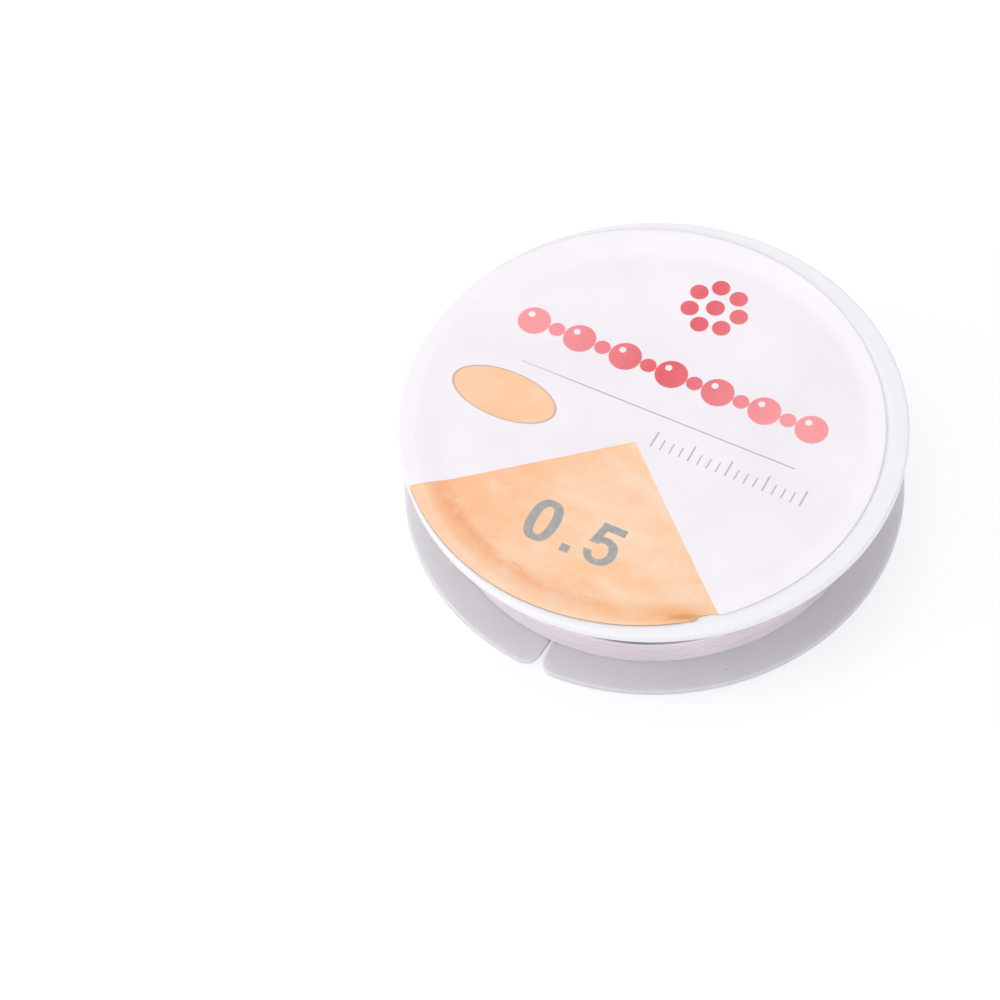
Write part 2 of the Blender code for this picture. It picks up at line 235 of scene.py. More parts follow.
def corner_arc(before, corner, after, radius, steps):
    """A rounded corner: the arc that touches both sides, with one more point next to it on each side.

    The arc touches each side at radius / tan(half the corner's angle) from the corner, and its centre
    is that far along the side plus the radius square to it.
    """
    before, corner, after = (np.array(p, float) for p in (before, corner, after))
    back = (before - corner) / np.linalg.norm(before - corner)
    ahead = (after - corner) / np.linalg.norm(after - corner)
    half = math.acos(np.clip(back @ ahead, -1.0, 1.0)) / 2
    reach = radius / math.tan(half)
    middle = back + ahead
    centre = corner + middle / np.linalg.norm(middle) * radius / math.sin(half)
    start, end = corner + back * reach - centre, corner + ahead * reach - centre
    share = np.linspace(0.0, 1.0, steps + 1)[:, None]
    turn = math.pi - 2 * half
    arc = (np.sin((1 - share) * turn) * start + np.sin(share * turn) * end) / math.sin(turn)
    support = 0.25 * radius
    before_arc, after_arc = corner + back * (reach + support), corner + ahead * (reach + support)
    return np.vstack([before_arc, centre + arc, after_arc])


def rounded_section(corners, steps=CORNER_STEPS):
    """A section's points from (radius, height, rounding) corners. A rounding of 0 keeps the corner."""
    section = []
    for number, (x, y, rounding) in enumerate(corners):
        if rounding:
            before = corners[number - 1][:2]
            after = corners[(number + 1) % len(corners)][:2]
            section.append(corner_arc(before, (x, y), after, rounding, steps))
        else:
            section.append(np.array([[x, y]]))
    return np.vstack(section)


def rotated(x, y, angle):
    """A place turned about the origin: (x cos a - y sin a, x sin a + y cos a)."""
    cosine, sine = math.cos(angle), math.sin(angle)
    return x * cosine - y * sine, x * sine + y * cosine


def on_axis(radius, angle, height):
    """Points (r cos a, r sin a, h), one to a row."""
    height = np.broadcast_to(height, np.broadcast_shapes(np.shape(radius), np.shape(angle)))
    return np.stack([radius * np.cos(angle), radius * np.sin(angle), height], axis=-1).reshape(-1, 3)


def revolved(name, section):
    """A section of (radius, height) points, from axis to axis, carried once round the axis."""
    angle = np.arange(FLANGE_COLUMNS) * math.tau / FLANGE_COLUMNS
    points = on_axis(section[:, 0][:, None], angle, section[:, 1][:, None])
    return mesh_piece(name, points, grid_quads(len(section), FLANGE_COLUMNS, False, True))


def averaged_line(radius, knots, heights, window):
    """A broken line through its knots, averaged over a window each way, which rounds its corners."""
    offsets = np.linspace(-window, window, ROUNDING_STEPS)
    return np.mean([np.interp(np.abs(radius + shift), knots, heights) for shift in offsets], axis=0)


def face_height(radius):
    """The front face: a flat floor, a gentle slope, a step and the flat rim."""
    knots = (0.0, FLOOR_RADIUS, SLOPE_TOP_RADIUS, RIM_INNER_RADIUS, 2 * FLANGE_RADIUS)
    heights = (FLOOR_TOP, FLOOR_TOP, SLOPE_TOP, SPOOL_WIDTH, SPOOL_WIDTH)
    return averaged_line(radius, knots, heights, 0.18)


def label_seat(radius, bridging):
    """The sticker's seat: the moulding's face, or where it bridges, a straight run from floor to rim.

    Height is the face's, plus bridging (0 to 1) times how far the straight run lies above it.
    """
    knots = (0.0, FLOOR_RADIUS - 0.3, RIM_INNER_RADIUS + 0.1, 2 * FLANGE_RADIUS)
    heights = (FLOOR_TOP, FLOOR_TOP, SPOOL_WIDTH, SPOOL_WIDTH)
    face = face_height(radius)
    straight = averaged_line(radius, knots, heights, 0.7)
    return face + bridging * np.maximum(straight - face, 0.0) + GLUE_GAP


# Front flange and hub


def rib(number):
    """One rib: a rounded section carried out from the boss's wall to the hub's."""
    half, top = RIB_THICKNESS / 2, (FRONT_INNER_FACE + FLOOR_TOP) / 2
    section = rounded_section(
        [(-half, top, 0.0), (-half, RIB_END, 0.2), (half, RIB_END, 0.2), (half, top, 0.0)], steps=3
    )
    ends = (BORE_RADIUS + BOSS_RADIUS) / 2, (HUB_RADIUS + HUB_INNER_RADIUS) / 2
    angle = (number + 0.5) * math.tau / RIB_COUNT
    middle = section.mean(axis=0)
    rings = [(ends[0], 0.0), (ends[0], 1.0), (ends[1], 1.0), (ends[1], 0.0)]
    points = []
    for along, size in rings:
        across, height = (middle + (section - middle) * size).T
        points.append(np.column_stack([*rotated(along, across, angle), height]))
    quads = grid_quads(len(rings), len(section), False, True)
    return mesh_piece(f"rib_{number + 1}", np.vstack(points), quads)


def front_moulding():
    """The front flange, hub and boss as one revolved section, with the six ribs joined to it."""
    radii = np.concatenate(
        [np.linspace(0.0, 24.0, 9), np.linspace(24.4, 26.0, 9), np.linspace(26.4, 28.4, 21), [29.2]]
    )
    face = np.stack([radii, face_height(radii)], axis=-1)
    walls = rounded_section(
        [
            (FLANGE_RADIUS - 0.8, SPOOL_WIDTH, 0.0),
            (FLANGE_RADIUS, SPOOL_WIDTH, EDGE_ROUND),
            (FLANGE_RADIUS, FRONT_INNER_FACE, EDGE_ROUND),
            (HUB_RADIUS, FRONT_INNER_FACE, 0.3),
            (HUB_RADIUS, HUB_END, 0.2),
            (HUB_INNER_RADIUS, HUB_END, 0.2),
            (HUB_INNER_RADIUS, FRONT_INNER_FACE, 0.3),
            (BOSS_RADIUS, FRONT_INNER_FACE, 0.3),
            (BOSS_RADIUS, BOSS_END, 0.2),
            (BORE_RADIUS, BOSS_END, 0.2),
            (BORE_RADIUS, FRONT_INNER_FACE, 0.3),
            (0.0, FRONT_INNER_FACE, 0.0),
        ]
    )
    flange = revolved("front_flange", np.vstack([face, walls[1:]]))
    for number in range(RIB_COUNT):
        blank = rib(number)
        union = flange.modifiers.new(blank.name, "BOOLEAN")
        union.operation = "UNION"
        union.solver = "EXACT"
        union.object = blank
        flange = applied(flange)
        bpy.data.objects.remove(blank)
    return flange


def applied(piece):
    """The piece with its modifiers made part of its mesh."""
    evaluated = piece.evaluated_get(bpy.context.evaluated_depsgraph_get())
    mesh = bpy.data.meshes.new_from_object(evaluated)
    piece.modifiers.clear()
    piece.data = mesh
    return piece


# Rear flange


def slit_outline():
    """The rear flange's edge with its slit, and the directions out of it, the slit along +X.

    Upper half: a quarter of the slit's round inner end, its tapered side, the lip's arc, whose centre
    is a lip radius inside the edge and a lip radius off the side, and the edge itself. The lower half
    mirrors it. The third result is an angle for each point, which rises steadily along the slit.
    """
    end_half = SLIT_END_WIDTH / 2
    end_centre = FLANGE_RADIUS - SLIT_DEPTH + end_half
    taper = math.atan2((SLIT_MOUTH_WIDTH - SLIT_END_WIDTH) / 2, SLIT_DEPTH)
    off_side = end_half * math.cos(taper) - end_centre * math.sin(taper) + SLIT_LIP_ROUND
    along_side = math.sqrt((FLANGE_RADIUS - SLIT_LIP_ROUND) ** 2 - off_side**2)
    lip_centre = np.array(rotated(along_side, off_side, taper))
    lip_end = math.atan2(lip_centre[1], lip_centre[0])
    end_angle = np.linspace(math.pi, math.pi / 2 + taper, SLIT_END_STEPS + 1)
    end_out = -np.stack([np.cos(end_angle), np.sin(end_angle)], axis=-1)
    end_points = np.array([end_centre, 0.0]) - end_half * end_out
    side_share = np.linspace(0.0, 1.0, 8)[1:-1, None]
    lip_angle = np.linspace(taper - math.pi / 2, lip_end, LIP_STEPS + 1)
    lip_out = np.stack([np.cos(lip_angle), np.sin(lip_angle)], axis=-1)
    lip_points = lip_centre + SLIT_LIP_ROUND * lip_out
    side_points = end_points[-1] + side_share * (lip_points[0] - end_points[-1])
    side_out = np.broadcast_to(lip_out[0], side_points.shape)
    edge_angle = np.linspace(lip_end, math.pi, FLANGE_COLUMNS // 2 + 1)[1:]
    edge_out = np.stack([np.cos(edge_angle), np.sin(edge_angle)], axis=-1)
    half = np.vstack([end_points, side_points, lip_points, FLANGE_RADIUS * edge_out])
    out = np.vstack([end_out, side_out, lip_out, edge_out])
    slit_run = np.linalg.norm(np.diff(half[: -len(edge_angle)], axis=0), axis=1)
    slit_angle = lip_end * np.concatenate([[0.0], np.cumsum(slit_run)]) / slit_run.sum()
    angle = np.concatenate([slit_angle, edge_angle])
    mirrored = slice(-2, 0, -1)
    flip = np.array([1.0, -1.0])
    return (
        np.vstack([half, half[mirrored] * flip]),
        np.vstack([out, out[mirrored] * flip]),
        np.concatenate([angle, -angle[mirrored]]),
    )


def rear_moulding():
    """The rear flange: rings that follow its slit edge, at an inset, joined to rings round the axis.

    An edge ring is the outline less the inset along its outward direction. A ring round the axis has
    each point at its own angle.
    """
    outline, out, angle = slit_outline()
    outline, out = (np.column_stack(rotated(*side.T, SLIT_ANGLE)) for side in (outline, out))
    round_axis = np.stack([np.cos(angle + SLIT_ANGLE), np.sin(angle + SLIT_ANGLE)], axis=-1)
    bend = np.linspace(-math.pi / 2, math.pi / 2, 2 * CORNER_STEPS + 1)
    inset = REAR_EDGE_ROUND * (1 - np.cos(bend))
    middle = np.where(bend < 0, REAR_EDGE_ROUND, REAR_INNER_FACE - REAR_EDGE_ROUND)
    lift = middle + REAR_EDGE_ROUND * np.sin(bend)
    face_insets = [0.5, 0.3]
    inset = np.concatenate([face_insets, inset, face_insets[::-1]])
    lift = np.concatenate([[0.0, 0.0], lift, [REAR_INNER_FACE, REAR_INNER_FACE]])
    edge_rings = [(outline - gap * out, height) for gap, height in zip(inset, lift)]
    section = rounded_section(
        [
            (FACE_RING_RADIUS, REAR_INNER_FACE, 0.0),
            (COLLAR_RADIUS, REAR_INNER_FACE, 0.15),
            (COLLAR_RADIUS, COLLAR_TOP - COLLAR_CHAMFER, 0.1),
            (COLLAR_RADIUS - COLLAR_CHAMFER, COLLAR_TOP, 0.1),
            (OPENING_RADIUS, COLLAR_TOP, 0.15),
            (OPENING_RADIUS, 0.0, EDGE_ROUND),
            (FACE_RING_RADIUS, 0.0, 0.0),
        ]
    )
    axis_rings = [(radius * round_axis, height) for radius, height in section]
    rings = edge_rings + axis_rings
    points = [np.column_stack([ring, np.full(len(ring), height)]) for ring, height in rings]
    quads = grid_quads(len(rings), len(outline), True, True)
    return mesh_piece("rear_flange_disc", np.vstack(points), quads)


# Label


def bump_at(u, v, centre, size, turn=0.0):
    """A soft rise: exp(-(a^2 + b^2) / 2), where a and b are lengths along its axes over its sizes."""
    along, across = rotated(u - centre[0], v - centre[1], -turn)
    return np.exp(-((along / size[0]) ** 2 + (across / size[1]) ** 2) / 2)


def paper_relief(u, v):
    """How far the sticker lifts off its seat: soft waves, a trapped bubble and short creases."""
    waves = 0.006 * np.sin(0.42 * u + 0.21 * v + 0.6) * np.sin(0.17 * u - 0.33 * v)
    waves += 0.004 * np.sin(0.9 * u - 0.5 * v + 1.1) * np.sin(0.31 * u + 0.8 * v)
    return 0.012 + waves + sum(lift * bump_at(u, v, *rest) for lift, *rest in PAPER_RISES)


def label_edge(angle):
    """The label's radius by angle in its own frame: a die-cut circle with one small torn nick.

    The tear comes in steeply, by a smooth step on its one side, and runs out gently on the other.
    """
    tear = np.degrees(angle - TEAR_ANGLE + math.pi) % 360 - 180
    return LABEL_RADIUS - TEAR_DEPTH * smooth_step((tear + 3.1) / 0.9) * smooth_step((3.6 - tear) / 3.2)


def front_sticker():
    """The label: rings out from its centre to its cut edge, then back along its glued side.

    Height is the seat's height at the point's own distance from the spool's axis, plus the relief and,
    on the printed side, the paper's thickness. A column bridges the face's step where its end passes
    it.
    """
    angle = np.arange(LABEL_COLUMNS) * math.tau / LABEL_COLUMNS
    edge = label_edge(angle)

    def on_flange(reach):
        across, up = reach * np.cos(angle), reach * np.sin(angle)
        x, y = rotated(across, up, LABEL_TURN)
        return x + LABEL_CENTRE[0], y + LABEL_CENTRE[1], paper_relief(across, up)

    edge_x, edge_y, _ = on_flange(edge)
    bridging = smooth_step((np.hypot(edge_x, edge_y) - SLOPE_TOP_RADIUS) / 0.8)

    def sheet(reach, lift):
        x, y, relief = on_flange(reach)
        return np.stack([x, y, label_seat(np.hypot(x, y), bridging) + relief + lift], axis=-1)

    outwards = np.linspace(0.0, 1.0, LABEL_RINGS)[:, None] ** RING_CROWDING
    inwards = np.linspace(1.0, 0.0, GLUED_RINGS)[:, None] ** RING_CROWDING
    printed = sheet(outwards * (edge - LABEL_EDGE_ROUND), LABEL_THICKNESS)
    rim = sheet(edge[None], LABEL_THICKNESS - LABEL_EDGE_ROUND)
    glued = sheet(inwards * edge, 0.0)
    points = np.concatenate([printed, rim, glued])
    quads = grid_quads(len(points), LABEL_COLUMNS, False, True)
    return mesh_piece("label_sheet", points.reshape(-1, 3), quads)


# Wound line


def turn_radius(height):
    """Distance of the outer turns' centre line from the axis, largest half way between the flanges."""
    across = (height - FIRST_TURN_Z) / (LAST_TURN_Z - FIRST_TURN_Z)
    return TURN_RADIUS - WINDING_CROWN * (2 * across - 1) ** 2


def smooth_step(share):
    """0 below 0, 1 above 1, and s^2 (3 - 2 s) between them."""
    share = np.clip(share, 0.0, 1.0)
    return share * share * (3 - 2 * share)


def sines(angle, parts):
    """A sum of size * sin(rate * angle + phase) over its parts."""
    return sum(size * np.sin(rate * angle + phase) for size, rate, phase in parts)


def wound_path():
    """The outer layer and the last turns over it as one line, and how many turns in each point is.

    The layer comes up out of the turns below at the rear, and its height grows at a steady pitch, plus
    slow waves that change a little from turn to turn. Then the line climbs on it by its own width and
    runs across it and back, each time over its own earlier turns, down to its slot at the front flange.
    The way across is averaged over a quarter turn, which rounds its corners.
    """
    turns = np.arange(round((LAYER_TURNS + OVER_TURNS) * STEPS_PER_TURN) + 1) / STEPS_PER_TURN
    angle = LAYER_END_ANGLE + (turns - turns[-1]) * math.tau
    over = np.clip((turns - LAYER_TURNS) / OVER_TURNS, 0.0, 1.0)
    height = LAYER_REAR + (LAYER_FRONT - LAYER_REAR) * np.minimum(turns / LAYER_TURNS, 1.0)
    height += np.interp(over, OVER_STOPS, OVER_HEIGHTS)
    each_way = STEPS_PER_TURN // 8
    window = np.ones(2 * each_way + 1) / (2 * each_way + 1)
    height = np.pad(height, each_way, mode="reflect", reflect_type="odd")
    height = np.convolve(height, window, mode="valid")
    settled = smooth_step((turns[-1] - turns) / 0.6)
    height = np.clip(height + sines(angle, WANDER) * settled, LOWEST_LINE, HIGHEST_LINE)
    climbed = smooth_step((turns - LAYER_TURNS) / 0.12) * smooth_step((turns[-1] - turns) / 0.1)
    lift = LAYER_CLIMB * climbed
    for earlier in (1, 2):
        steps = earlier * STEPS_PER_TURN
        gap = height[steps:] - height[:-steps]
        crossed = turns[steps:] - earlier > LAYER_TURNS
        lift[steps:] += CROSSING_CLIMB * np.exp(-((gap / CROSSING_WIDTH) ** 2)) * crossed
    radius = turn_radius(height) + lift + sines(angle, RIPPLE) * settled
    radius -= 0.7 * smooth_step(1 - turns / 0.1)
    return on_axis(radius, angle, height), turns


def line_tube(name, path, turns=None):
    """A round line along a path wrapped on the axis: each ring lies square to the path.

    The ring's first direction is the way out from the axis less its part along the path, and the second
    is square to both. A ring shrunk to its centre closes each end.
    """
    ahead = np.gradient(path, axis=0)
    ahead /= np.linalg.norm(ahead, axis=1)[:, None]
    out = path * np.array([1.0, 1.0, 0.0])
    out -= (out * ahead).sum(axis=1)[:, None] * ahead
    out /= np.linalg.norm(out, axis=1)[:, None]
    side = np.cross(ahead, out)
    around = np.arange(LINE_SIDES) * math.tau / LINE_SIDES
    ring = out[:, None] * np.cos(around)[:, None] + side[:, None] * np.sin(around)[:, None]
    rings = path[:, None] + LINE_RADIUS * ring
    cap_start = np.broadcast_to(path[0], (1, LINE_SIDES, 3))
    cap_end = np.broadcast_to(path[-1], (1, LINE_SIDES, 3))
    points = np.concatenate([cap_start, rings, cap_end])
    run = np.concatenate([[0.0], np.cumsum(np.linalg.norm(np.diff(path, axis=0), axis=1))])
    number = np.zeros(len(path)) if turns is None else turns

    def on_rings(values):
        return np.repeat(np.concatenate([values[:1], values, values[-1:]]), LINE_SIDES)

    quads = grid_quads(len(points), LINE_SIDES, False, True)
    attributes = {"along_line": on_rings(run), "turn_number": on_rings(number)}
    return mesh_piece(name, points.reshape(-1, 3), quads, attributes)


def wound_body(path):
    """The inner turns as one body, with a groove round the axis that the outer layer lies in.

    At each angle the layer's turns cross at known heights. The body's depth below their centre line is
    sqrt(r^2 - d^2), d being the distance to the nearest of them, less a ridge that fills the gap
    between two turns, as the line's own glow does.
    """
    clear = LINE_RADIUS + 0.02
    heights = np.linspace(FRONT_INNER_FACE - 0.06, REAR_INNER_FACE + 0.06, BODY_ROWS)
    layer = path[: round(LAYER_TURNS * STEPS_PER_TURN), 2]
    missing = -len(layer) % STEPS_PER_TURN
    crossings = np.append(layer, np.full(missing, -99.0)).reshape(-1, STEPS_PER_TURN)
    away = np.abs(heights[:, None, None] - crossings).min(axis=1)
    ridge = 0.22 * smooth_step((away - 0.15) / 0.11)
    depth = np.sqrt(np.maximum(clear**2 - away**2, 0.0)) - ridge
    depth[(heights[:, None] > crossings.max(axis=0)) | (away > 1.4 * clear)] = clear
    radius = turn_radius(heights)[:, None] - depth
    inner = np.full((1, STEPS_PER_TURN), HUB_RADIUS + 0.02)
    radius = np.vstack([inner, radius, inner])
    height = np.concatenate([heights[:1], heights, heights[-1:]])[:, None]
    angle = np.arctan2(path[:STEPS_PER_TURN, 1], path[:STEPS_PER_TURN, 0])
    points = on_axis(radius, angle, height)
    return mesh_piece("wound_body", points, grid_quads(*radius.shape, True, True))


def tail_path():
    """The loose end: a Catmull-Rom curve through its route's points, which lie on the winding.

    A route point sits at the turns' radius plus its height, and its angle is its run over that radius.
    Between the points b and c, with a before and d after them, the curve at share s is
    b + s (c - a) / 2 + s^2 (2 a - 5 b + 4 c - d) / 2 + s^3 (3 (b - c) + d - a) / 2.
    """
    along, back, rise = np.array(TAIL_ROUTE).T
    height = LAST_TURN_Z - back
    radius = turn_radius(height) + rise
    angle = LAYER_END_ANGLE + along / radius
    knots = on_axis(radius, angle, height)
    knots = np.vstack([2 * knots[0] - knots[1], knots, 2 * knots[-1] - knots[-2]])
    share = np.linspace(0.0, 1.0, TAIL_STEPS, endpoint=False)[:, None]
    path = []
    for before, start, end, after in zip(knots, knots[1:], knots[2:], knots[3:]):
        bend = 2 * before - 5 * start + 4 * end - after
        twist = 3 * (start - end) + after - before
        path.append(start + share * ((end - before) + share * (bend + share * twist)) / 2)
    return np.vstack([*path, knots[-2:-1]])


# Materials


def colour(red, green, blue):
    """A colour given as seen on a screen, 0 to 255, as the linear values that shaders read."""
    seen = np.array([red, green, blue]) / 255
    linear = np.where(seen <= 0.04045, seen / 12.92, ((seen + 0.055) / 1.055) ** 2.4)
    return (*linear.tolist(), 1.0)


class Field:
    """A number that varies over a surface. Arithmetic on it adds Math nodes to its finish."""

    def __init__(self, finish, socket):
        self.finish, self.socket = finish, socket

    def math(self, operation, *others, clamp=False):
        feeds = dict(enumerate((self, *others)))
        node = self.finish.node("ShaderNodeMath", feeds, operation=operation, use_clamp=clamp)
        return Field(self.finish, node.outputs[0])

    def __add__(self, other):
        return self.math("ADD", other)

    def __sub__(self, other):
        return self.math("SUBTRACT", other)

    def __mul__(self, other):
        return self.math("MULTIPLY", other)

    def __truediv__(self, other):
        return self.math("DIVIDE", other)

    def __abs__(self):
        return self.math("ABSOLUTE")

    def __neg__(self):
        return self.math("MULTIPLY", -1.0)

    def least(self, other):
        return self.math("MINIMUM", other)

    def most(self, other):
        return self.math("MAXIMUM", other)

    def repeat(self, pitch):
        """The way to the nearest of points a pitch apart: (value + pitch / 2) mod pitch - pitch / 2."""
        return (self + pitch / 2).math("FLOORED_MODULO", pitch) - pitch / 2

    def inside(self, soft):
        """1 where a signed distance is below 0 and 0 above it, over a soft edge of that width."""
        return (self / -soft).math("ADD", 0.5, clamp=True)

    def ramp(self, low, high):
        """0 below low, 1 above high."""
        return ((self - low) / (high - low)).math("ADD", 0.0, clamp=True)


class Finish:
    """A Principled material and the nodes that vary it."""

    def __init__(self, name, base, roughness, **sockets):
        self.material = bpy.data.materials.new(name)
        self.material.use_nodes = True
        self.tree = self.material.node_tree
        self.shader = self.tree.nodes["Principled BSDF"]
        self.shader.inputs["Base Color"].default_value = base
        self.shader.inputs["Roughness"].default_value = roughness
        for socket, value in sockets.items():
            self.shader.inputs[socket.replace("_", " ")].default_value = value

    def node(self, kind, feeds=None, **settings):
        """A new node with these settings, and each feed put to the input of its name or number."""
        made = self.tree.nodes.new(kind)
        for setting, value in settings.items():
            setattr(made, setting, value)
        for place, value in (feeds or {}).items():
            self.put(value, made.inputs[place])
        return made

    def put(self, value, socket):
        """Links a Field or another node's output to a socket, or sets the socket to a plain value."""
        if isinstance(value, Field):
            value = value.socket
        if isinstance(value, bpy.types.NodeSocket):
            self.tree.links.new(value, socket)
        else:
            socket.default_value = value

    def places(self, scale=1 / MM, offset=(0.0, 0.0, 0.0), turn=0.0):
        """Object coordinates, in millimetres unless scaled, from an offset and turned about Z."""
        feeds = {
            "Vector": self.node("ShaderNodeTexCoord").outputs["Object"],
            "Location": [length * MM for length in offset],
            "Rotation": (0.0, 0.0, turn),
            "Scale": (1 / scale,) * 3,
        }
        return self.node("ShaderNodeMapping", feeds, vector_type="TEXTURE").outputs[0]

    def split(self, vector):
        parts = self.node("ShaderNodeSeparateXYZ", {0: vector})
        return [Field(self, part) for part in parts.outputs]

    def join(self, x, y, z):
        return self.node("ShaderNodeCombineXYZ", {0: x, 1: y, 2: z}).outputs[0]

    def attribute(self, name):
        return Field(self, self.node("ShaderNodeAttribute", attribute_name=name).outputs["Fac"])

    def noise(self, vector, scale, detail=2.0, roughness=0.5):
        feeds = {"Vector": vector, "Scale": scale, "Detail": detail, "Roughness": roughness}
        return Field(self, self.node("ShaderNodeTexNoise", feeds).outputs["Fac"])

    def specks(self, vector, scale, size):
        """1 inside small spots scattered one to a cell, some left out."""
        made = self.node("ShaderNodeTexVoronoi", {"Vector": vector, "Scale": scale})
        chosen = self.split(made.outputs["Color"])[0]
        distance = Field(self, made.outputs["Distance"])
        return (distance - chosen * size).inside(0.02) * chosen.ramp(0.84, 0.86)

    def mix(self, share, first, second):
        feeds = {0: share, 6: first, 7: second}
        return self.node("ShaderNodeMix", feeds, data_type="RGBA").outputs[2]

    def lean_outward(self, share):
        """Mixes the surface's normal with the way out from the axis, so that the turns look silky."""
        x, y, _ = self.split(self.node("ShaderNodeTexCoord").outputs["Object"])
        across = {"vector_type": "NORMAL", "convert_from": "OBJECT", "convert_to": "WORLD"}
        turned = self.node("ShaderNodeVectorTransform", {0: self.join(x, y, 0.0)}, **across)
        outward = self.node("ShaderNodeVectorMath", {0: turned.outputs[0]}, operation="NORMALIZE")
        normal = self.node("ShaderNodeNewGeometry").outputs["Normal"]
        feeds = {0: share, 4: normal, 5: outward.outputs[0]}
        made = self.node("ShaderNodeMix", feeds, data_type="VECTOR")
        whole = self.node("ShaderNodeVectorMath", {0: made.outputs[1]}, operation="NORMALIZE")
        self.put(whole.outputs[0], self.shader.inputs["Normal"])

    def set_colour(self, value):
        self.put(value, self.shader.inputs["Base Color"])

    def set_roughness(self, value):
        self.put(value, self.shader.inputs["Roughness"])

    def bump(self, height, distance):
        """Adds a relief, its distance in millimetres, to the normal that the shader already has."""
        feeds = {"Strength": 1.0, "Distance": distance * MM, "Height": height}
        previous = self.shader.inputs["Normal"].links
        if previous:
            feeds["Normal"] = previous[0].from_socket
        self.put(self.node("ShaderNodeBump", feeds).outputs[0], self.shader.inputs["Normal"])


def milky_plastic(name, transmission, subsurface):
    """Moulded polypropylene: cloudy, satin, with faint flow marks, fine scuffs and a little dust."""
    finish = Finish(
        name,
        colour(250, 249, 254),
        0.30,
        IOR=1.49,
        Transmission_Weight=transmission,
        Subsurface_Weight=subsurface,
        Subsurface_Radius=(0.90, 0.90, 1.0),
        Subsurface_Scale=0.0012,
    )
    places = finish.places()
    cloud = finish.noise(places, 0.11, detail=3.0)
    dust = finish.specks(places, 0.30, 0.045)
    tone = finish.mix(cloud.ramp(0.3, 0.7), colour(247, 247, 255), colour(251, 250, 255))
    finish.set_colour(finish.mix(dust * 0.6, tone, colour(130, 126, 128)))
    scuffs = finish.noise(finish.places(scale=2600.0), 1.0, detail=6.0, roughness=0.65)
    finish.set_roughness(scuffs * 0.16 + cloud * 0.10 + 0.18)
    finish.bump(scuffs, 0.004)
    finish.bump(finish.noise(places, 0.5, detail=1.0), 0.02)
    return finish.material


def disc(across, up, centre, radius):
    """Below 0 inside a circle: the distance from its centre less its radius."""
    across, up = across - centre[0], up - centre[1]
    return (across * across + up * up).math("SQRT") - radius


def bar(across, up, middle, half_length, half_width):
    """Below 0 inside a rectangle: the larger of the lengths from its middle less its half sizes."""
    return (abs(across - middle[0]) - half_length).most(abs(up - middle[1]) - half_width)


def oval(across, up, centre, semi_axes, turn=0.0, power=2.0):
    """Below 0 inside |a|^power + |b|^power = 1, a and b being lengths on its axes over their sizes."""
    a, b = rotated(across - centre[0], up - centre[1], -turn)
    a, b = (abs(length / size).math("POWER", power) for length, size in zip((a, b), semi_axes))
    return ((a + b).math("POWER", 1 / power) - 1.0) * min(semi_axes)


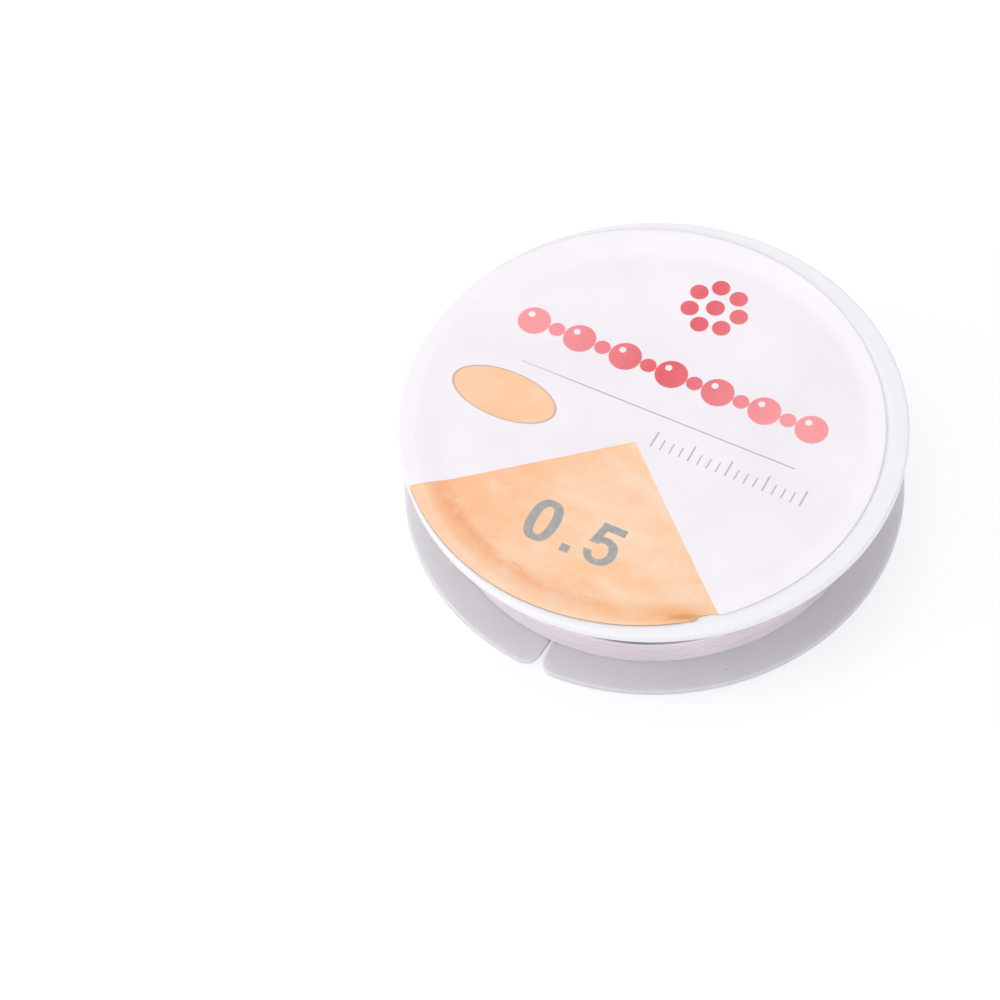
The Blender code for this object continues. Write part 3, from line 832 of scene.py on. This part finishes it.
class LabelPrint(Finish):
    """The label's print under its gloss film, in millimetres in the label's own frame.

    u runs to the right and v up, as the figures stand. A printed thing is a signed distance, below 0
    inside it, which becomes a share of ink over a soft edge. Each layer takes the colour under it.
    """

    soft = 0.10

    def __init__(self):
        film = {"Coat_Weight": 0.35, "Coat_Roughness": 0.22, "Coat_IOR": 1.45}
        super().__init__("label_print", colour(247, 243, 248), 0.42, **film)
        self.sheet = self.places(offset=(*LABEL_CENTRE, 0.0), turn=LABEL_TURN)
        self.u, self.v, _ = self.split(self.sheet)
        x, y, _ = self.split(self.places())
        self.from_axis = (x * x + y * y).math("SQRT")
        self.fibre = self.noise(self.sheet, 1.4, detail=4.0, roughness=0.6)
        self.mottle = self.noise(self.sheet, 0.16, detail=5.0, roughness=0.62)

    def paper(self):
        """White and a little cloudy, and whiter over the slope ring: a painted highlight of the light
        that the slope catches.
        """
        cloud = self.noise(self.sheet, 0.09, detail=3.0)
        paper = self.mix(cloud.ramp(0.35, 0.7), colour(244, 239, 242), colour(251, 246, 248))
        # Painted highlight: the paper is whitened on the slope ring, in place of the light that the
        # slope catches.
        painted_slope_sheen = (self.from_axis - FLOOR_RADIUS).ramp(-0.8, 0.8)
        return self.mix(painted_slope_sheen * 0.45, paper, colour(255, 251, 253))

    def orange(self):
        """Mottled as ink under film is, and darker towards its left in mottled patches.

        Painted shade darkens the valley next to the rim and draws wrinkles along it as dark lines. It
        pales over the rim, is stained beside the torn nick, and has a dark line at its cut edge, partly
        the paper edge's own brown and partly painted shade.
        """
        u, v, from_axis, mottle = self.u, self.v, self.from_axis, self.mottle
        grain = self.noise(self.sheet, 0.45, detail=5.0, roughness=0.7)
        streaks = self.noise(self.join(u * 0.5, v * 1.6, 0.0), 0.16, detail=5.0, roughness=0.65)
        # Darker, deeper orange towards the left, in mottled patches.
        darker_left_patches = u.ramp(2.0, -12.0) * mottle.ramp(0.25, 0.6)
        middle = oval(u, v, (4.0, -11.5), (10.0, 6.0), -0.3)
        # Painted shade: the orange is darkened in the valley next to the rim, where the slope faces
        # away from the light.
        painted_valley_shade = (abs(from_axis - 26.2) - 0.3).inside(2.0) * u.ramp(18.0, 2.0)
        # Painted shade: dark wandering lines along the valley stand in for the shade in the paper's
        # wrinkles.
        painted_wrinkle_shade = (abs(from_axis - 25.7 - (mottle - 0.5) * 4.0) - 0.06).inside(0.3)
        painted_wrinkle_shade = painted_wrinkle_shade * grain.ramp(0.45, 0.60) * u.ramp(10.0, -4.0)
        on_rim = (from_axis - RIM_INNER_RADIUS).ramp(-0.3, 0.6)
        glow = oval(u, v, (15.2, -22.6), (3.2, 1.1), STAIN_TURN) + (mottle - 0.5) * 1.4
        stain = oval(u, v, (16.5, -22.5), (1.5, 0.42), STAIN_TURN) + (self.fibre - 0.5) * 0.4
        # A dark line at the cut edge: partly the paper edge's own brown, partly painted shade of the
        # edge.
        cut_edge_brown_and_shade = disc(u, v, (0.0, 0.0), LABEL_RADIUS - 0.07).ramp(0.0, 0.04)
        orange = self.mix(streaks.ramp(0.36, 0.64), colour(255, 194, 140), colour(255, 218, 182))
        for share, tone in (
            (darker_left_patches * 0.75, (255, 179, 119)),
            (middle.inside(9.0) * 0.45, (255, 221, 188)),
            (painted_valley_shade * mottle.ramp(0.10, 0.55), (251, 163, 103)),
            (painted_wrinkle_shade * 0.9, (228, 138, 74)),
            (grain.ramp(0.50, 0.72) * 0.30, (252, 180, 124)),
            (grain.ramp(0.46, 0.30) * 0.35, (255, 226, 196)),
            (on_rim * 0.5, (255, 224, 192)),
            (glow.inside(1.5) * 0.8, (246, 174, 102)),
            (stain.inside(0.5) * 0.95, (221, 146, 56)),
            (cut_edge_brown_and_shade * 0.75, (160, 112, 88)),
        ):
            orange = self.mix(share, orange, colour(*tone))
        return orange

    def orange_sector(self, under):
        """Everything below two straight edges that meet at the sector's tip."""
        across, up = self.u - SECTOR_TIP[0], self.v - SECTOR_TIP[1]
        left = up * math.cos(SECTOR_LEFT) - across * math.sin(SECTOR_LEFT)
        right = across * math.sin(SECTOR_RIGHT) - up * math.cos(SECTOR_RIGHT)
        return self.mix((-left).most(-right).inside(self.soft), under, self.orange())

    def oval_patch(self, under):
        """A plain orange oval with a thin outline."""
        patch = oval(self.u, self.v, (-16.5, -3.48), (6.67, 3.36), math.radians(-1.0))
        tone = self.mix(self.mottle.ramp(0.35, 0.65), colour(254, 196, 146), colour(255, 209, 166))
        filled = self.mix(patch.inside(self.soft), under, tone)
        outline = (abs(patch) - 0.06).inside(self.soft)
        return self.mix(outline * 0.8, filled, colour(170, 145, 130))

    def rule_and_ticks(self, under):
        """A thin grey rule, fainter at its start, and a plain scale of ticks under it."""
        u, v = self.u, self.v
        ink = (u + 17.0).ramp(0.0, 9.0) * 0.5 + 0.45
        rule = bar(u, v, (1.05, 1.85), 17.95, 0.08).inside(self.soft) * ink
        short_ticks = bar(u.repeat(1.2), v, (0.0, -1.9), 0.09, 0.75)
        long_ticks = bar((u - 2.4).repeat(4.8), v, (0.0, -1.5), 0.11, 1.15)
        ticks = short_ticks.least(long_ticks).most(abs(u - 12.0) - 9.9)
        return self.mix(rule.most(ticks.inside(self.soft) * 0.85), under, colour(176, 166, 168))

    def beads(self, under):
        """Red beads, paler towards their ends: a row on a thread, and a rosette round one bead."""
        u, v = self.u, self.v
        pitch, row_height, rosette = 6.1, 7.8, (0.4, 19.0)
        along = u.repeat(pitch)
        large = disc(along, v, (0.0, row_height), 2.0).most(-disc(along, v, (-0.7, 8.55), 0.42))
        small = disc((u + pitch / 2).repeat(pitch), v, (0.0, row_height), 1.0)
        thread = bar(u, v, (0.0, row_height), 19.0, 0.10)
        row = large.least(small).least(thread).most(abs(u) - (3 * pitch + 2.02))
        out = disc(u, v, rosette, 0.0)
        spin = (v - rosette[1]).math("ARCTAN2", u - rosette[0]).repeat(math.tau / 7)
        petals = disc(out * spin.math("COSINE"), out * spin.math("SINE"), (3.1, 0.0), 1.12)
        red = self.mix(abs(u + 1.0).ramp(0.0, 16.0), colour(229, 72, 88), colour(251, 150, 152))
        return self.mix(row.least(petals).least(out - 1.15).inside(self.soft), under, red)

    def gauge_figures(self, under):
        """The line's gauge in plain upright figures."""
        u, v = self.u, self.v
        zero_middle = (-4.02, -17.48)
        zero = oval(u, v, zero_middle, (1.92, 2.98), power=2.5)
        zero = zero.most(-oval(u, v, zero_middle, (0.77, 2.06), power=2.5))
        point = bar(u, v, (-0.12, -19.83), 0.56, 0.53)
        bowl = oval(u, v, (3.8, -18.4), (1.95, 1.98), power=2.2)
        bowl = bowl.most(-oval(u, v, (3.75, -18.45), (0.95, 1.15)))
        bowl = bowl.most(-(u - 3.0).most(abs(v + 18.2) - 0.55))
        stem = (abs(u - 2.5 - (v + 17.6) * 0.18) - 0.48).most(abs(v + 16.1) - 1.5)
        five = bowl.least(stem).least(bar(u, v, (4.0, -15.1), 1.5, 0.5))
        teal = self.mix(self.fibre.ramp(0.4, 0.7), colour(152, 152, 148), colour(177, 173, 168))
        return self.mix(zero.least(point).least(five).inside(self.soft), under, teal)


def label_finish():
    """All the label's layers of print over its paper, and its film's slight unevenness."""
    finish = LabelPrint()
    printed = finish.paper()
    for layer in (
        finish.orange_sector,
        finish.oval_patch,
        finish.rule_and_ticks,
        finish.beads,
        finish.gauge_figures,
    ):
        printed = layer(printed)
    finish.set_colour(printed)
    finish.set_roughness(finish.fibre * 0.12 + 0.34)
    finish.bump(finish.noise(finish.sheet, 0.55, detail=3.0), 0.02)
    finish.bump(finish.fibre, 0.006)
    return finish.material


def nylon_line(name, transmission, lean):
    """Clear nylon: glossy, with small changes along the line and from turn to turn."""
    finish = Finish(
        name,
        colour(253, 248, 251),
        0.10,
        IOR=1.53,
        Specular_IOR_Level=0.8,
        Transmission_Weight=transmission,
        Subsurface_Weight=0.5,
        Subsurface_Radius=(1.0, 0.92, 0.95),
        Subsurface_Scale=0.0004,
        Coat_Weight=0.5,
        Coat_Roughness=0.10,
        Coat_IOR=1.6,
    )
    along, number = finish.attribute("along_line"), finish.attribute("turn_number")
    in_line = finish.join(along * 0.16, number * 3.7, 0.0)
    streak = finish.noise(in_line, 1.0, detail=4.0, roughness=0.7)
    x, y, z = finish.split(finish.places())
    around = y.math("ARCTAN2", x) * TURN_RADIUS
    round_spool = finish.join(around * 0.20, z * 3.4, number * 1.3)
    hair = finish.noise(round_spool, 1.0, detail=4.0, roughness=0.65)
    tone = finish.mix(streak.ramp(0.3, 0.7), colour(252, 233, 238), colour(255, 245, 248))
    finish.set_colour(finish.mix(hair.ramp(0.50, 0.68) * 0.40, tone, colour(228, 211, 217)))
    finish.set_roughness(streak * 0.12 + hair * 0.14 + 0.03)
    if lean:
        finish.lean_outward(lean)
    finish.bump(streak, 0.10)
    finish.bump(hair, 0.12)
    return finish.material


def wound_mass():
    """The inner turns seen through the outer ones: pale, pearly, streaked round the axis."""
    finish = Finish(
        "wound_mass",
        colour(250, 246, 249),
        0.40,
        Subsurface_Weight=0.3,
        Subsurface_Radius=(1.0, 0.92, 0.95),
        Subsurface_Scale=0.0008,
    )
    x, y, z = finish.split(finish.places())
    angle = y.math("ARCTAN2", x)
    streak = finish.noise(finish.join(angle * 6.0, z * 3.4, 0.0), 1.0, detail=4.0, roughness=0.7)
    tone = finish.mix(streak.ramp(0.3, 0.7), colour(253, 240, 245), colour(255, 250, 253))
    finish.set_colour(tone)
    finish.set_roughness(streak * 0.2 + 0.25)
    finish.lean_outward(0.8)
    finish.bump(streak, 0.03)
    return finish.material


def plain_floor():
    """A white floor that keeps the object's shadow, and shows as white in the picture and in gloss.

    Seen directly, it glows more with the distance from the spool, so that it runs into plain white.
    """
    floor_material = bpy.data.materials.new("white_floor")
    floor_material.use_nodes = True
    tree = floor_material.node_tree
    tree.nodes.clear()
    kinds = "BsdfDiffuse BsdfDiffuse TexCoord VectorMath MapRange Emission AddShader MixShader"
    matte, seen, where, away, rise, glow, lit, mix = (
        tree.nodes.new("ShaderNode" + kind) for kind in kinds.split()
    )
    output = tree.nodes.new("ShaderNodeOutputMaterial")
    matte.inputs["Color"].default_value = (0.90, 0.89, 0.92, 1.0)
    seen.inputs["Color"].default_value = (0.45, 0.45, 0.46, 1.0)
    away.operation = "LENGTH"
    near, far, near_glow, far_glow = 0.08, 0.40, 0.62, 0.80
    for socket, value in zip(rise.inputs[1:5], (near, far, near_glow, far_glow)):
        socket.default_value = value
    for source, target in (
        (where.outputs["Object"], away.inputs[0]),
        (away.outputs["Value"], rise.inputs[0]),
        (rise.outputs[0], glow.inputs["Strength"]),
        (seen.outputs[0], lit.inputs[0]),
        (glow.outputs[0], lit.inputs[1]),
        (seen_directly(tree), mix.inputs[0]),
        (matte.outputs[0], mix.inputs[1]),
        (lit.outputs[0], mix.inputs[2]),
        (mix.outputs[0], output.inputs[0]),
    ):
        tree.links.new(source, target)
    return floor_material


def seen_directly(tree):
    """1 for rays from the camera, and for those that gloss and clear line send on."""
    path = tree.nodes.new("ShaderNodeLightPath")
    total = path.outputs["Is Camera Ray"]
    for kind in ("Is Glossy Ray", "Is Transmission Ray"):
        most = tree.nodes.new("ShaderNodeMath")
        most.operation = "MAXIMUM"
        tree.links.new(total, most.inputs[0])
        tree.links.new(path.outputs[kind], most.inputs[1])
        total = most.outputs[0]
    return total


# Pieces


def place(piece, material, slot, *nodes):
    """Gives a finished piece its material and its body, and hides the solids that it stands for. The
    slot is not used.
    """
    piece.data.materials.clear()
    piece.data.materials.append(material)
    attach(piece, "root")
    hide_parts(*nodes)


def build_spool():
    front_plastic = milky_plastic("milky_front", transmission=0.03, subsurface=0.8)
    rear_plastic = milky_plastic("milky_rear", transmission=0.25, subsurface=0.8)
    place(front_moulding(), front_plastic, "milky_plastic", "front_flange_hub")
    place(rear_moulding(), rear_plastic, "milky_plastic", "rear_flange")
    place(front_sticker(), label_finish(), "label_paper", "front_label")
    path, turns = wound_path()
    place(wound_body(path), wound_mass(), "wound_line", "line_core")
    winding = line_tube("wound_turns", path, turns)
    silky_line = nylon_line("clear_winding", transmission=0.08, lean=0.80)
    place(winding, silky_line, "clear_line", "line_outer_layer")
    loose = tail_path()
    tail = line_tube("loose_end", loose)
    place(tail, nylon_line("clear_tail", transmission=1.0, lean=0.0), "clear_line", "line_tail")


def place_camera():
    """The photograph's own view: a long lens, 55.5 degrees down, rolled a little.

    The camera stands back from the middle of the front face by its depth, and off it by the face's
    place in the picture: its pixel's distance from the centre times the depth over the focal length.
    """
    image_size, sensor_width = 1000, 36.0
    focal_pixels, depth = 3738.4, 439.38
    face_pixel = (653.27, 421.84)
    pitch, roll = math.radians(55.467), math.radians(-3.832)
    forward = Vector((0.0, math.cos(pitch), -math.sin(pitch)))
    level, upward = Vector((1.0, 0.0, 0.0)), Vector((0.0, math.sin(pitch), math.cos(pitch)))
    right = math.cos(roll) * level + math.sin(roll) * upward
    up = -math.sin(roll) * level + math.cos(roll) * upward
    across = (face_pixel[0] - image_size / 2) / focal_pixels * depth
    rise = (image_size / 2 - face_pixel[1]) / focal_pixels * depth
    place_mm = Vector((0.0, 0.0, SPOOL_WIDTH)) - across * right - rise * up - depth * forward
    camera = bpy.data.objects.new("camera", bpy.data.cameras.new("camera"))
    bpy.context.scene.collection.objects.link(camera)
    turn = Matrix((right, up, -forward)).transposed().to_4x4()
    camera.matrix_world = Matrix.Translation(place_mm * MM) @ turn
    camera.data.sensor_width = sensor_width
    camera.data.lens = focal_pixels * sensor_width / image_size
    camera.data.clip_start, camera.data.clip_end = 0.01, 10.0
    bpy.context.scene.camera = camera


def soft_lamp(name, position, sizes, power, tint):
    """A softbox that faces the middle of the spool."""
    data = bpy.data.lights.new(name, "AREA")
    data.shape = "RECTANGLE"
    data.size, data.size_y = sizes
    data.energy, data.color = power, tint
    lamp = bpy.data.objects.new(name, data)
    bpy.context.scene.collection.objects.link(lamp)
    lamp.location = position
    aim = Vector((0.0, 0.0, LAMP_AIM_HEIGHT * MM)) - Vector(position)
    lamp.rotation_euler = aim.to_track_quat("-Z", "Y").to_euler()


def light_studio():
    """Even light from all round, a white backdrop for what is seen directly, and four softboxes."""
    world = bpy.data.worlds.new("studio")
    world.use_nodes = True
    bpy.context.scene.world = world
    tree = world.node_tree
    ambient = tree.nodes["Background"]
    ambient.inputs["Color"].default_value = (0.96, 0.96, 1.0, 1.0)
    ambient.inputs["Strength"].default_value = 0.49
    backdrop = tree.nodes.new("ShaderNodeBackground")
    backdrop.inputs["Color"].default_value = (1.0, 1.0, 1.0, 1.0)
    mix = tree.nodes.new("ShaderNodeMixShader")
    tree.links.new(seen_directly(tree), mix.inputs[0])
    tree.links.new(ambient.outputs[0], mix.inputs[1])
    tree.links.new(backdrop.outputs[0], mix.inputs[2])
    tree.links.new(mix.outputs[0], tree.nodes["World Output"].inputs[0])
    for lamp in STUDIO_LAMPS:
        soft_lamp(*lamp)


def lay_floor():
    """One square a little under the spool, so that no face of it lies in the spool's own."""
    half, drop = 1500.0, 0.04
    corners = np.array([[-half, -half], [half, -half], [half, half], [-half, half]])
    corners = np.column_stack([corners, np.full(len(corners), -drop)]) * MM
    mesh = bpy.data.meshes.new("floor")
    mesh.from_pydata(corners.tolist(), [], [(0, 1, 2, 3)])
    floor = bpy.data.objects.new("floor", mesh)
    bpy.context.scene.collection.objects.link(floor)
    floor.data.materials.append(plain_floor())


bpy.context.scene.view_settings.view_transform = "Standard"
place_camera()
light_studio()
lay_floor()
build_spool()

bpy.context.view_layer.update()
